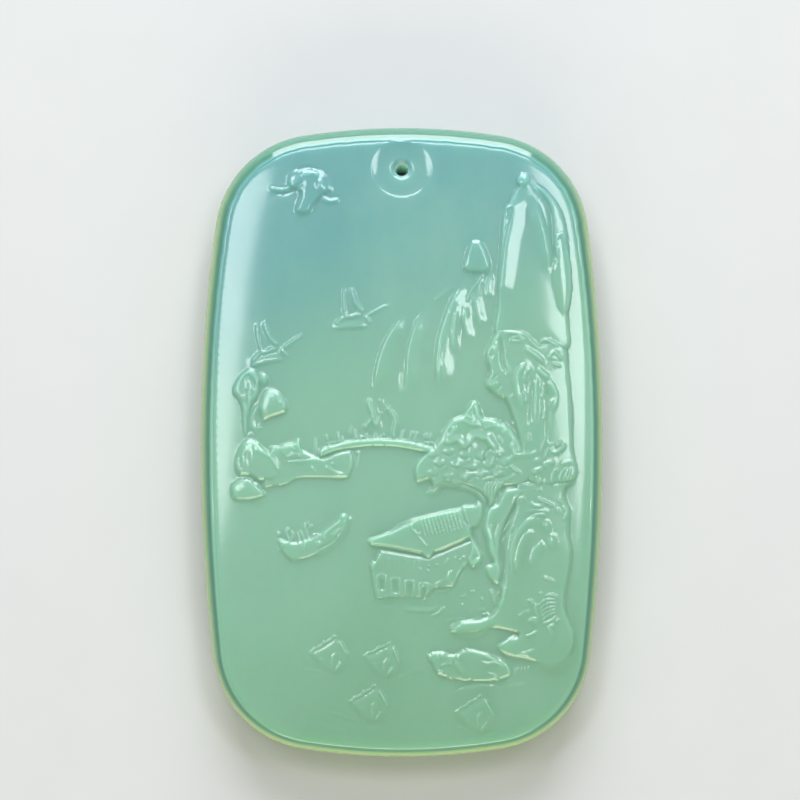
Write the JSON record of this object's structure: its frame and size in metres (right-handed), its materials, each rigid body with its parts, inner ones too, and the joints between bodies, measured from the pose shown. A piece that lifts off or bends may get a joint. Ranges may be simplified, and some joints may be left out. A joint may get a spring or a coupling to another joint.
{
  "type": "jade plaque",
  "caption": "Carved jade pendant plaque: bowed round-cornered tablet with a landscape in low relief and a drilled cord hole near the top.",
  "frame": {"origin": "middle of the flat back, on the surface that the plaque lies on", "axes": "+Z out of the carved face, +Y towards the end with the cord hole, +X to the right as the carving is seen"},
  "size_m": [0.04, 0.063, 0.0075],
  "materials": {
    "jade": "translucent pale green jade, bluish at the top and greener at the foot, high polish"
  },
  "bodies": {
    "root": {"plaque": "jade"}
  },
  "joints": []
}
